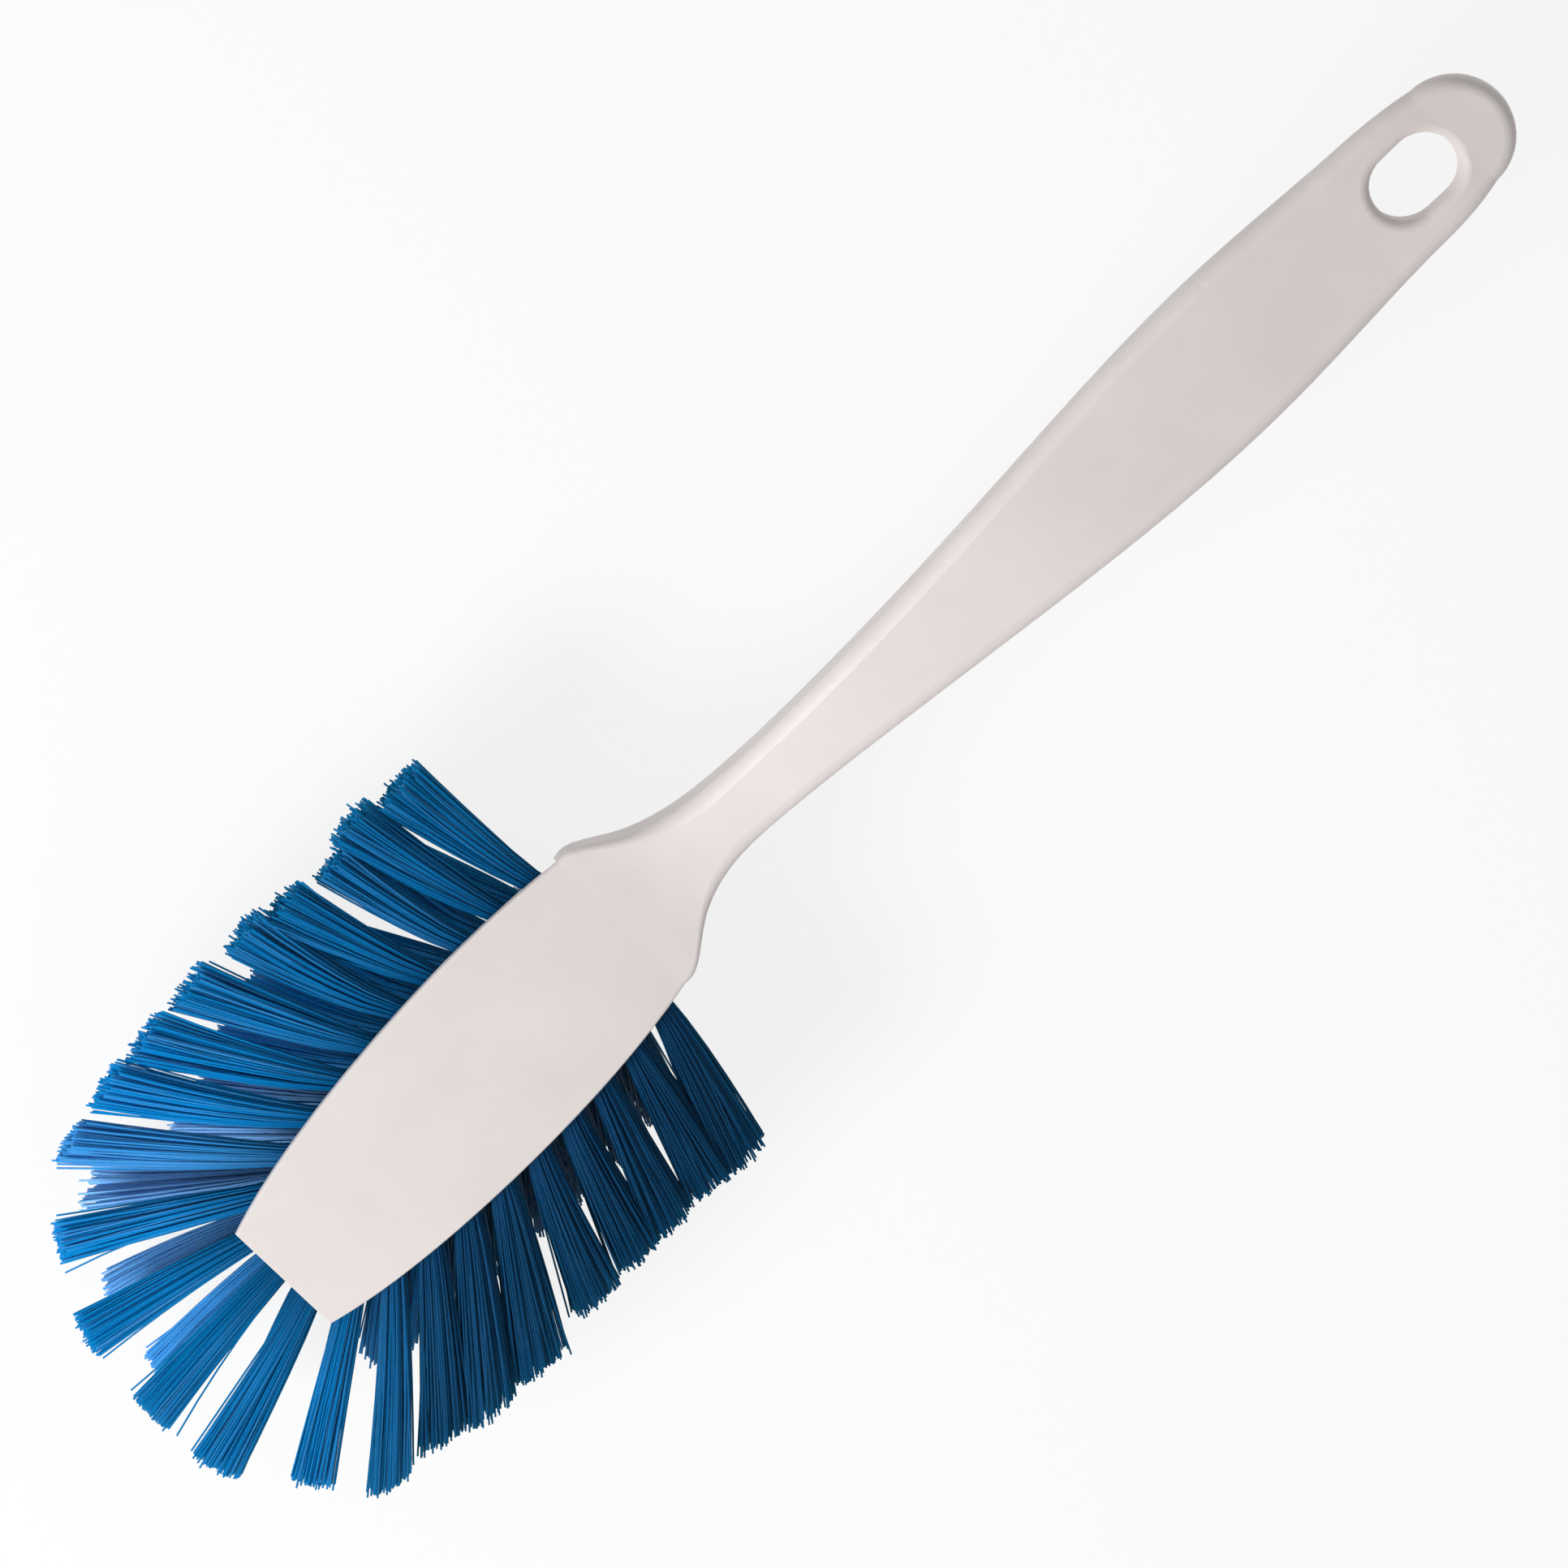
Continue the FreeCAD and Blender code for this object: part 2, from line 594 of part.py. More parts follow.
for name, step in (("left", 1), ("middle", 0), ("right", -1)):
    mouth = (outer_inset, step * size("nose_pitch"), outer_level)
    tufts.append(tuft(f"tuft_nose_{name}", mouth, step * size("nose_fan"), "outer", cell("nose_length")))
    mouth = (middle_inset, step * size("middle_nose_pitch"), middle_level)
    turn = step * size("middle_nose_fan")
    tufts.append(tuft(f"tuft_middle_nose_{name}", mouth, turn, "middle", cell("middle_nose_length")))
mouth = (size("centre_nose_setback"), 0, sole_level)
tufts.append(tuft("tuft_centre_nose", mouth, 0, "centre", cell("centre_length"), "centre_nose_dip"))


def tuft_frame(item):
    """Placement with its Z along the tuft and its origin in the hole's mouth. X, which the anchor
    follows, is upright in the outer ring and level in the rows under it."""
    level = FreeCAD.Vector(-item["aim"].y, item["aim"].x, 0)
    across = item["aim"].cross(level) if item["row"] == "outer" else level
    turn = FreeCAD.Rotation(across, FreeCAD.Vector(), item["aim"], "ZXY")
    return FreeCAD.Placement(item["mouth"], turn)


def add_cylinder(name, radius, height, base):
    cylinder = doc.addObject("Part::Cylinder", name)
    cylinder.setExpression("Radius", radius)
    cylinder.setExpression("Height", height)
    cylinder.setExpression("Placement.Base.z", base)
    return cylinder


def add_anchor(name, row):
    """Flat wire anchor across a hole, a little above its floor."""
    anchor = doc.addObject("Part::Box", name)
    anchor.setExpression("Length", cell("anchor_length"))
    anchor.setExpression("Width", cell("anchor_thickness"))
    anchor.setExpression("Height", cell("anchor_height"))
    anchor.setExpression("Placement.Base.x", f"-1 * {cell('anchor_length')} / 2")
    anchor.setExpression("Placement.Base.y", f"-1 * {cell('anchor_thickness')} / 2")
    anchor.setExpression("Placement.Base.z", f"{cell('anchor_lift')} - {cell(f'{row}_hole_depth')}")
    return anchor


def placed(name, links, frame):
    group = doc.addObject("Part::Compound", name)
    group.Links = links
    group.Placement = frame
    return group


HOLE_RADIUS = f"{cell('hole_diameter')} / 2"
TUFT_RADIUS = f"{HOLE_RADIUS} - {cell('tuft_clearance')}"

pockets = []
anchors = []
bundles = []
for item in tufts:
    name = item["name"]
    row = item["row"]
    frame = tuft_frame(item)
    depth = cell(f"{row}_hole_depth")

    hole = add_cylinder(f"hole_{name}", HOLE_RADIUS, f"{depth} + {cell('overrun')}", f"-1 * {depth}")
    pockets.append(placed(f"pocket_{name}", [hole], frame))
    anchor = add_anchor(f"anchor_{name}", row)
    anchors.append(placed(f"set_anchor_{name}", [anchor], frame))

    floor = f"{cell('tuft_clearance')} - {depth}"
    root = add_cylinder(f"root_{name}", TUFT_RADIUS, f"{cell('tuft_collar')} - ({floor})", floor)
    spread = doc.addObject("Part::Cone", f"spread_{name}")
    spread.setExpression("Radius1", TUFT_RADIUS)
    spread.setExpression("Radius2", f"{cell(f'{row}_tip_diameter')} / 2")
    spread.setExpression("Height", f"{item['length']} - {cell('tuft_collar')}")
    spread.setExpression("Placement.Base.z", cell("tuft_collar"))
    bristles = doc.addObject("Part::Fuse", f"bristles_{name}")
    bristles.Base = root
    bristles.Tool = spread
    bundle = doc.addObject("Part::Cut", name)
    bundle.Label = name
    bundle.Base = bristles
    bundle.Tool = anchor
    bundle.Placement = frame
    bundles.append(bundle)

cutters = doc.addObject("Part::Compound", "pockets_and_slits")
cutters.Links = pockets + anchors
handle = doc.addObject("Part::Cut", "handle_and_head")
handle.Label = "handle_and_head"
handle.Base = body
handle.Tool = cutters
anchor_set = doc.addObject("Part::Compound", "tuft_anchors")
anchor_set.Label = "tuft_anchors"
anchor_set.Links = anchors
doc.recompute()

# The origin goes to the middle of the brush's box, at the level of its lowest bristles
sub_parts = [handle, anchor_set] + bundles
box = FreeCAD.BoundBox()
for sub_part in sub_parts:
    box.add(sub_part.Shape.optimalBoundingBox())
shift = FreeCAD.Placement(FreeCAD.Vector(-box.Center.x, -box.Center.y, -box.ZMin), FreeCAD.Rotation())
for sub_part in sub_parts:
    sub_part.Placement = shift.multiply(sub_part.Placement)
doc.recompute()

for thing in doc.Objects:
    if "Invalid" in thing.State or "Error" in thing.State:
        raise RuntimeError(f"{thing.Name} failed: {thing.State}")
for sub_part in sub_parts:
    shape = sub_part.Shape
    if shape.isNull() or not shape.isValid():
        raise RuntimeError(f"{sub_part.Label} has no valid shape")
    shape.exportStep(os.path.join("parts", f"{sub_part.Label}.step"))
print(len(sub_parts), "sub-parts", box, "handle solids", len(handle.Shape.Solids))
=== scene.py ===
"""The looks of the dish brush: filament tufts, finishes, stage and camera, in metres."""

import json
import math

import bpy
import numpy as np
from mathutils import Matrix, Vector

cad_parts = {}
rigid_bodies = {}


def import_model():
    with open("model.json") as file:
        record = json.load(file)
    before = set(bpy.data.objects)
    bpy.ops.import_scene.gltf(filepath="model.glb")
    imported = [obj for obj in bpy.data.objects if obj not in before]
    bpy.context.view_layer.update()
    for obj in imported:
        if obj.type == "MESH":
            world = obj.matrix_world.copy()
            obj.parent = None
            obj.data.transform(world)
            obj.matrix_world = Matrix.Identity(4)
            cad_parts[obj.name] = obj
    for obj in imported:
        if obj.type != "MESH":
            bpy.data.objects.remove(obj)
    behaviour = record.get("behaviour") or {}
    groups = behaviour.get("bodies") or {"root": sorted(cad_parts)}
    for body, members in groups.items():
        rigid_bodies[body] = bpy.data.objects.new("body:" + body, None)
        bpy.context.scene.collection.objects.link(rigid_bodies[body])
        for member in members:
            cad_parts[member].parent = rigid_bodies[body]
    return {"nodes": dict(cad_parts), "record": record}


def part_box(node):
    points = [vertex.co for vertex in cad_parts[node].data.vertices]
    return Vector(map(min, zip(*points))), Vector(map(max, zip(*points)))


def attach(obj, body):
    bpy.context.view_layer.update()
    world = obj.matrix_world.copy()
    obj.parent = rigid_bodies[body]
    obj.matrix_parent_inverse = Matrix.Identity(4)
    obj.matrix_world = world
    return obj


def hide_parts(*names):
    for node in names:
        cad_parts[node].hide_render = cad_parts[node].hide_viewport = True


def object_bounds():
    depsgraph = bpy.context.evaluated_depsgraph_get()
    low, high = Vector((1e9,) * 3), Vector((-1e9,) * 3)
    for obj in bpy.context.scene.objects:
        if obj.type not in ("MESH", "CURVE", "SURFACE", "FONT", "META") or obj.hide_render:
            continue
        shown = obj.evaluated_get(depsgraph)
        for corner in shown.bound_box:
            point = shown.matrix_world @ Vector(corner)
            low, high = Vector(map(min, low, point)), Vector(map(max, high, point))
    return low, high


# Camera: the picture's side in pixels, its scale on the object, the lens in millimetres, the aim in metres
IMAGE_SIDE = 1932
METRES_PER_PIXEL = 0.1207e-3
LENS = 600.0
SENSOR = 36.0
CAMERA_LEAN = math.radians(15.1)
AXIS_TURN = math.radians(46.45)
AIM_FROM_SCRAPER = 0.10466
AIM_TO_RIGHT = 0.00325
CLIP_SHARE = 10.0

# Key lamp, placed from the middle of the head, and the even light round the object
KEY_AZIMUTH = math.radians(163.0)
KEY_ELEVATION = math.radians(42.0)
KEY_DISTANCE = 0.70
KEY_DIAMETER = 0.30
KEY_POWER = 4.5
SKY_STRENGTH = 0.40

# Floor
FLOOR_RADIUS = 4.0
FLOOR_SIDES = 96
FLOOR_GLOW = 0.82
PAPER_DARK = (0.90, 0.90, 0.90, 1.0)
PAPER_LIGHT = (0.94, 0.94, 0.94, 1.0)
FIBRE_SCALE = 420.0
WHITE = (1.0, 1.0, 1.0, 1.0)

# Bristle filaments: sizes in metres, jitter and bend as one standard deviation, and the powers by which
# flare and bend grow towards the cut end
SEED = 7
FILAMENTS = 190
FILAMENT_RADIUS = 0.155e-3
FILAMENT_SIDES = 6
FILAMENT_RINGS = 7
END_ROUNDING = 0.06e-3
ROOT_INSET = 0.25e-3
TIP_JITTER = 0.35e-3
STRAND_BEND = 0.35e-3
TUFT_BEND = 0.35e-3
STRAY_SHARE = 0.03
STRAY_BEND = 3.0
ANGLE_JITTER = 0.12
REACH_JITTER = 0.06
FLARE_POWER = 0.8
BEND_POWER = 2
SIDE_TRIM_SHARE = 0.25
CUT_ROUNDS = 4
GOLDEN_ANGLE = math.pi * (3.0 - math.sqrt(5.0))
NEARLY_UPRIGHT = 0.9

# How near counts as the same when a tuft's solid is read: a cosine and a distance in metres
SAME_PLANE = 0.99999
SAME_PLACE = 0.06e-3

# How use has set the tufts. Side rows hold tufts 1 to 9 from the rear: push of the cut end towards the
# handle, change of length, both in millimetres, and spread of the cut end as a share of the solid's end
LEAN_POWER = 1.4
SET_UNIT = 1e-3
SIDE_SETS = {
    "tuft_left": (
        (2.3, 1.5, 4.2, 3.8, 5.8, 4.2, 2.6, 2.4, 2.7),
        (-0.8, 0.3, -2.2, -0.8, 0.6, 1.4, 1.4, 1.2, 0.0),
        (1.35, 1.25, 0.98, 1.28, 1.28, 1.25, 1.20, 1.15, 1.00),
    ),
    "tuft_right": (
        (-2.5, 0.2, -0.3, 2.0, 2.3, -2.0, -3.2, -1.0, -1.8),
        (1.5, 0.5, 0.0, -0.3, 0.0, 1.0, 0.4, -0.8, -0.9),
        (1.35, 1.25, 1.15, 1.20, 1.20, 1.40, 1.35, 1.15, 0.95),
    ),
    "tuft_middle_left": (
        (-2.0, 4.8, -1.8, 4.0, 4.2, 2.5, 1.2, 1.0, 0.5),
        (0.0, -2.0, -1.0, -0.5, -0.5, -3.0, -6.0, -8.0, -2.0),
        (1.10, 0.85, 0.80, 1.20, 1.20, 1.20, 1.10, 1.00, 1.45),
    ),
    "tuft_middle_right": (
        (-1.0, 0.0, 0.5, 1.5, 0.5, 1.5, 0.8, 3.2, 3.0),
        (0.0, 0.0, 0.0, 0.0, -3.0, 0.0, 0.0, -1.0, -9.0),
        (1.35, 1.35, 1.35, 1.35, 1.35, 1.40, 1.40, 1.05, 0.70),
    ),
}
# The tufts at the nose: push towards the handle and to the left, change of length, spread
NOSE_SETS = {
    "tuft_corner_left": (0.0, 0.0, 0.0, 0.95),
    "tuft_corner_right": (-1.8, 0.4, -1.3, 0.93),
    "tuft_nose_left": (0.0, -0.6, 0.0, 1.02),
    "tuft_nose_middle": (0.0, -1.2, 0.5, 1.02),
    "tuft_nose_right": (0.0, 1.2, 1.2, 1.12),
    "tuft_middle_nose_left": (0.0, -3.9, -2.0, 0.95),
    "tuft_middle_nose_middle": (0.0, -2.6, 0.0, 0.75),
    "tuft_middle_nose_right": (0.0, -4.6, -4.0, 0.60),
}
NO_SET = (0.0, 0.0, 0.0, 1.0)

# Painted light and shade of the tufts, against their direction seen from above in degrees: 0 at the nose,
# left positive; 0 is full painted shade, as where the head shades the right-hand tufts, and 1 is fully
# lit. Second-row tufts within the last two directions get a further painted highlight.
PAINTED_LIGHT_DIRECTIONS = (-90.0, -62.0, -51.0, -47.0, -34.0, 0.0, 47.0, 63.0, 90.0)
PAINTED_LIGHT_SHARES = (0.00, 0.06, 0.10, 0.32, 0.62, 0.55, 1.00, 0.50, 0.38)
SECOND_ROW_HIGHLIGHT = 0.45
SECOND_ROW_HIGHLIGHT_DIRECTIONS = (-10.0, 46.0)

# Colours, linear
PLASTIC_LIGHT = (0.800, 0.742, 0.722, 1.0)
PLASTIC_DARK = (0.745, 0.684, 0.664, 1.0)
PLASTIC_WORN = (0.850, 0.805, 0.790, 1.0)
# Painted shade and painted lit side of one bristle blue; the dark blue also tints random streaks
BRISTLE_PAINTED_SHADE_AND_STREAK = (0.000, 0.024, 0.068, 1.0)
BRISTLE_PAINTED_LIT = (0.000, 0.290, 0.800, 1.0)
# Pale blue of the painted highlight on second-row tufts, also used for random paler strands
BRISTLE_HIGHLIGHT_AND_PALE_STRAND = (0.180, 0.430, 0.830, 1.0)
# Dark blue of the painted shade at the roots, under the head
BRISTLE_ROOT_SHADE = (0.000, 0.040, 0.125, 1.0)
BRISTLE_CUT = (0.000, 0.040, 0.130, 1.0)
STEEL_LIGHT = (0.62, 0.61, 0.58, 1.0)
STEEL_DARK = (0.40, 0.39, 0.37, 1.0)

# Finishes: noise scales and stretches are per metre, a band is the stretch of a value over which an effect
# goes from none to full, and a share is how strong it is then
NONE_TO_FULL = (0.0, 1.0)
MIDDLE_BAND = (0.3, 0.7)
PATCH_BAND = (0.35, 0.65)

CLOUD_SCALE = 38.0
FLOW_STRETCH = (35.0, 160.0, 160.0)
FLOW_SHARE = 0.25
SPECK_SCALE = 2600.0
SPECK_BAND = (0.66, 0.80)
SPECK_SHARE = 0.30
RUB_RADIUS = 0.5e-3
RUB_SAMPLES = 4
RUB_SCALE = 900.0
RUB_BAND = (0.995, 0.90)
MARK_STRETCH = (260.0, 2400.0, 2400.0)
MARK_BAND = (0.55, 0.75)
MARK_ROUGHNESS = (0.0, 0.08)
SMEAR_SCALE = 75.0
SMEAR_ROUGHNESS = (0.40, 0.52)
SINK_SCALE = 55.0
SINK_DEPTH = 0.12e-3
GRAIN_SCALE = 3400.0
GRAIN_DEPTH = 0.012e-3
GRAIN_STRENGTH = 0.8

# Painted highlight: how far the tuft's painted light goes past 0.9 before the tuft turns pale blue
PAINTED_HIGHLIGHT_BAND = (0.9, 1.4)
PALE_STRAND_BAND = (0.5, 1.0)
PALE_STRAND_SHARE = 0.26
# Painted shade at the roots: where along the filament it starts and how strong it gets
ROOT_SHADE_BAND = (0.50, 0.12)
ROOT_SHADE_SHARE = 0.7
STREAK_SCALE = 1400.0
STREAK_BAND = (0.55, 0.75)
STREAK_SHARE = 0.18
CUT_BAND = (0.985, 1.0)
CUT_SHARE = 0.6
GLOSS_SCALE = 2200.0
BRISTLE_ROUGHNESS = (0.24, 0.42)
SCUFF_SCALE = 5200.0
SCUFF_DEPTH = 0.010e-3
SCUFF_STRENGTH = 0.6

DRAWN_STRETCH = (900.0, 900.0, 9000.0)
DULL_SCALE = 1500.0
WIRE_ROUGHNESS = (0.28, 0.48)
DRAWN_DEPTH = 0.01e-3
DRAWN_STRENGTH = 0.7


class Nodes:
    """A material's node tree with short calls to add and join nodes."""

    def __init__(self, name):
        self.material = bpy.data.materials.new(name)
        self.material.use_nodes = True
        self.tree = self.material.node_tree
        self.tree.nodes.clear()
        self.output = self.add("ShaderNodeOutputMaterial")

    def add(self, kind, **settings):
        """A new node with these settings."""
        made = self.tree.nodes.new(kind)
        for key, value in settings.items():
            setattr(made, key, value)
        return made

    def join(self, source, target):
        """Links an output to an input."""
        self.tree.links.new(source, target)

    def place(self):
        """Object coordinates, which are the row frame in metres."""
        return self.add("ShaderNodeTexCoord").outputs["Object"]

    def stretched(self, scale):
        """Object coordinates with each axis scaled by itself."""
        mapping = self.add("ShaderNodeMapping")
        mapping.inputs["Scale"].default_value = scale
        self.join(self.place(), mapping.inputs["Vector"])
        return mapping.outputs["Vector"]

    def noise(self, scale=1.0, detail=2.0, roughness=0.5, vector=None):
        """Noise at the object coordinates, or at the vector given."""
        made = self.add("ShaderNodeTexNoise")
        made.inputs["Scale"].default_value = scale
        made.inputs["Detail"].default_value = detail
        made.inputs["Roughness"].default_value = roughness
        self.join(vector or self.place(), made.inputs["Vector"])
        return made.outputs["Fac"]

    def attribute(self, name):
        """A value that is stored on the mesh's vertices."""
        return self.add("ShaderNodeAttribute", attribute_name=name).outputs["Fac"]

    def spread(self, value, band, to=NONE_TO_FULL):
        """Maps the band onto the two values of to, and holds the nearer one outside the band."""
        made = self.add("ShaderNodeMapRange", clamp=True)
        for socket, limit in zip(("From Min", "From Max", "To Min", "To Max"), band + to):
            made.inputs[socket].default_value = limit
        self.join(value, made.inputs["Value"])
        return made.outputs["Result"]

    def mix(self, factor, first, second):
        """A colour between first and second, each a colour or another node's output."""
        made = self.add("ShaderNodeMix", data_type="RGBA")
        self.join(factor, made.inputs["Factor"])
        for socket, value in zip(("A", "B"), (first, second)):
            target = [i for i in made.inputs if i.name == socket and i.type == "RGBA"][0]
            if isinstance(value, tuple):
                target.default_value = value
            else:
                self.join(value, target)
        return [o for o in made.outputs if o.type == "RGBA"][0]

    def maths(self, operation, first, second):
        """One operation on two values, each a number or another node's output."""
        made = self.add("ShaderNodeMath", operation=operation)
        for target, value in zip(made.inputs, (first, second)):
            if isinstance(value, (int, float)):
                target.default_value = value
            else:
                self.join(value, target)
        return made.outputs["Value"]

    def bump(self, height, distance, strength=1.0, normal=None):
        """A normal that follows the height, on top of the normal given if there is one."""
        made = self.add("ShaderNodeBump")
        made.inputs["Distance"].default_value = distance
        made.inputs["Strength"].default_value = strength
        self.join(height, made.inputs["Height"])
        if normal:
            self.join(normal, made.inputs["Normal"])
        return made.outputs["Normal"]

    def principled(self, colour, roughness, normal, **constants):
        """The finished material; constants name the shader's sockets, with _ for a space."""
        shader = self.add("ShaderNodeBsdfPrincipled")
        self.join(colour, shader.inputs["Base Color"])
        self.join(roughness, shader.inputs["Roughness"])
        self.join(normal, shader.inputs["Normal"])
        for name, value in constants.items():
            shader.inputs[name.replace("_", " ")].default_value = value
        self.join(shader.outputs["BSDF"], self.output.inputs["Surface"])
        return self.material


def edge_mask(nodes):
    """1 along sharp edges and 0 on flat stretches, from how far a rounded normal turns."""
    rounded = nodes.add("ShaderNodeBevel", samples=RUB_SAMPLES)
    rounded.inputs["Radius"].default_value = RUB_RADIUS
    true_normal = nodes.add("ShaderNodeNewGeometry").outputs["Normal"]
    dot = nodes.add("ShaderNodeVectorMath", operation="DOT_PRODUCT")
    nodes.join(rounded.outputs["Normal"], dot.inputs[0])
    nodes.join(true_normal, dot.inputs[1])
    return nodes.spread(dot.outputs["Value"], RUB_BAND)


def moulded_plastic():
    """Off-white polypropylene: faint flow clouding, fine grain, handling marks and rubbed edges."""
    nodes = Nodes("off_white_plastic")
    clouds = nodes.spread(nodes.noise(CLOUD_SCALE, detail=3.0, roughness=0.55), PATCH_BAND)
    along_flow = nodes.stretched(FLOW_STRETCH)
    flow = nodes.spread(nodes.noise(detail=3.0, roughness=0.6, vector=along_flow), MIDDLE_BAND)
    speck = nodes.spread(nodes.noise(SPECK_SCALE, detail=1.0), SPECK_BAND)
    body = nodes.mix(clouds, PLASTIC_LIGHT, PLASTIC_DARK)
    streaked = nodes.mix(nodes.maths("MULTIPLY", flow, FLOW_SHARE), body, PLASTIC_LIGHT)
    flecked = nodes.mix(nodes.maths("MULTIPLY", speck, SPECK_SHARE), streaked, PLASTIC_DARK)
    rubbed = nodes.maths("MULTIPLY", edge_mask(nodes), nodes.noise(RUB_SCALE, detail=3.0))
    colour = nodes.mix(rubbed, flecked, PLASTIC_WORN)

    marks = nodes.noise(detail=4.0, roughness=0.7, vector=nodes.stretched(MARK_STRETCH))
    smear = nodes.noise(SMEAR_SCALE, detail=4.0, roughness=0.6)
    roughness = nodes.maths(
        "ADD",
        nodes.spread(smear, MIDDLE_BAND, SMEAR_ROUGHNESS),
        nodes.spread(marks, MARK_BAND, MARK_ROUGHNESS),
    )
    sink = nodes.bump(nodes.noise(SINK_SCALE), SINK_DEPTH)
    grain = nodes.noise(GRAIN_SCALE, roughness=0.6)
    normal = nodes.bump(grain, GRAIN_DEPTH, GRAIN_STRENGTH, sink)
    return nodes.principled(
        colour, roughness, normal,
        IOR=1.49,
        Subsurface_Weight=0.12,
        Subsurface_Radius=(1.0, 0.75, 0.65),
        Subsurface_Scale=1.5e-3,
    )


def bristle_plastic():
    """Blue PBT filament: painted light and shade by tuft, painted highlights on some second-row tufts,
    single strands paler, painted shade at the roots and cut ends deeper.
    """
    nodes = Nodes("bristle_filament")
    along = nodes.attribute("along")
    # The tuft's painted light: 0 gives the navy of painted shade, 1 the azure of painted light
    painted_light = nodes.attribute("painted_light")
    tuft = nodes.mix(nodes.spread(painted_light, NONE_TO_FULL), BRISTLE_PAINTED_SHADE_AND_STREAK, BRISTLE_PAINTED_LIT)
    # Painted highlight: tufts whose painted light passes 0.9 turn pale blue; random paler strands are
    # scaled by the painted light
    tuft = nodes.mix(nodes.spread(painted_light, PAINTED_HIGHLIGHT_BAND), tuft, BRISTLE_HIGHLIGHT_AND_PALE_STRAND)
    pale = nodes.spread(nodes.attribute("strand"), PALE_STRAND_BAND, (0.0, PALE_STRAND_SHARE))
    strand = nodes.mix(nodes.maths("MULTIPLY", pale, painted_light), tuft, BRISTLE_HIGHLIGHT_AND_PALE_STRAND)
    # Painted shade towards the roots
    root_shaded = nodes.mix(nodes.spread(along, ROOT_SHADE_BAND, (0.0, ROOT_SHADE_SHARE)), strand, BRISTLE_ROOT_SHADE)
    streak = nodes.spread(nodes.noise(STREAK_SCALE, detail=3.0), STREAK_BAND, (0.0, STREAK_SHARE))
    streaked = nodes.mix(streak, root_shaded, BRISTLE_PAINTED_SHADE_AND_STREAK)
    cut = nodes.spread(along, CUT_BAND, (0.0, CUT_SHARE))
    colour = nodes.mix(cut, streaked, BRISTLE_CUT)
    roughness = nodes.spread(nodes.noise(GLOSS_SCALE), MIDDLE_BAND, BRISTLE_ROUGHNESS)
    scuffs = nodes.noise(SCUFF_SCALE, detail=3.0, roughness=0.6)
    normal = nodes.bump(scuffs, SCUFF_DEPTH, SCUFF_STRENGTH)
    return nodes.principled(
        colour, roughness, normal,
        IOR=1.55,
        Specular_Tint=(0.18, 0.50, 1.0, 1.0),
        Subsurface_Weight=0.10,
        Subsurface_Radius=(0.15, 0.5, 1.0),
        Subsurface_Scale=0.4e-3,
    )


def drawn_wire():
    """Galvanised flat wire: fine drawing lines and dull patches."""
    nodes = Nodes("anchor_wire")
    drawn = nodes.noise(detail=3.0, roughness=0.6, vector=nodes.stretched(DRAWN_STRETCH))
    patches = nodes.spread(nodes.noise(DULL_SCALE, detail=3.0), PATCH_BAND)
    colour = nodes.mix(patches, STEEL_LIGHT, STEEL_DARK)
    roughness = nodes.spread(drawn, MIDDLE_BAND, WIRE_ROUGHNESS)
    normal = nodes.bump(drawn, DRAWN_DEPTH, DRAWN_STRENGTH)
    return nodes.principled(colour, roughness, normal, Metallic=1.0)


def floor_paper():
    """White paper sweep that shows near white, keeps the shadow and lights nothing but reflections."""
    nodes = Nodes("floor_paper")
    fibre = nodes.noise(FIBRE_SCALE, detail=4.0, roughness=0.6)
    paper = nodes.add("ShaderNodeBsdfDiffuse")
    nodes.join(nodes.mix(fibre, PAPER_DARK, PAPER_LIGHT), paper.inputs["Color"])
    glow = nodes.add("ShaderNodeEmission")
    glow.inputs["Color"].default_value = WHITE
    path = nodes.add("ShaderNodeLightPath")
    seen = nodes.maths("MAXIMUM", path.outputs["Is Camera Ray"], path.outputs["Is Glossy Ray"])
    seen = nodes.maths("MAXIMUM", seen, path.outputs["Is Transmission Ray"])
    share = nodes.maths("MULTIPLY", seen, FLOOR_GLOW)
    blend = nodes.add("ShaderNodeMixShader")
    nodes.join(share, blend.inputs["Fac"])
    nodes.join(paper.outputs["BSDF"], blend.inputs[1])
    nodes.join(glow.outputs["Emission"], blend.inputs[2])
    nodes.join(blend.outputs["Shader"], nodes.output.inputs["Surface"])
    return nodes.material


class TuftSolid:
    """Where a tuft stands: axis, ends and radii, read from its CAD solid."""

    def __init__(self, node):
        mesh = node.data
        normals = np.array([face.normal for face in mesh.polygons])
        areas = np.array([face.area for face in mesh.polygons])
        centres = np.array([face.center for face in mesh.polygons])
        points = np.array([vertex.co for vertex in mesh.vertices])
        # The cut end is the largest flat face of the solid.
        same_plane = normals @ normals.T > SAME_PLANE
        cut_end = same_plane[np.argmax(same_plane @ areas)]
        weights = areas[cut_end]
        axis = weights @ normals[cut_end]
        self.axis = axis / np.linalg.norm(axis)
        self.tip = weights @ centres[cut_end] / weights.sum()
        self.tip_radius = math.sqrt(weights.sum() / math.pi)
        from_tip = points - self.tip
        height = from_tip @ self.axis
        self.length = -height.min()
        self.root = self.tip - self.axis * self.length
        reach = np.linalg.norm(from_tip - np.outer(height, self.axis), axis=1)
        low = height < height.min() + SAME_PLACE
        self.root_radius = reach[low].max()
        straight = reach < self.root_radius + SAME_PLACE
        outer = reach > self.root_radius - SAME_PLACE
        self.collar = (height[straight & outer].max() + self.length) / self.length


def side_directions(axis):
    """Two unit vectors square to the axis and to each other."""
    helper = (0.0, 0.0, 1.0) if abs(axis[2]) < NEARLY_UPRIGHT else (1.0, 0.0, 0.0)
    first = np.cross(helper, axis)
    first /= np.linalg.norm(first)
    return first, np.cross(axis, first)


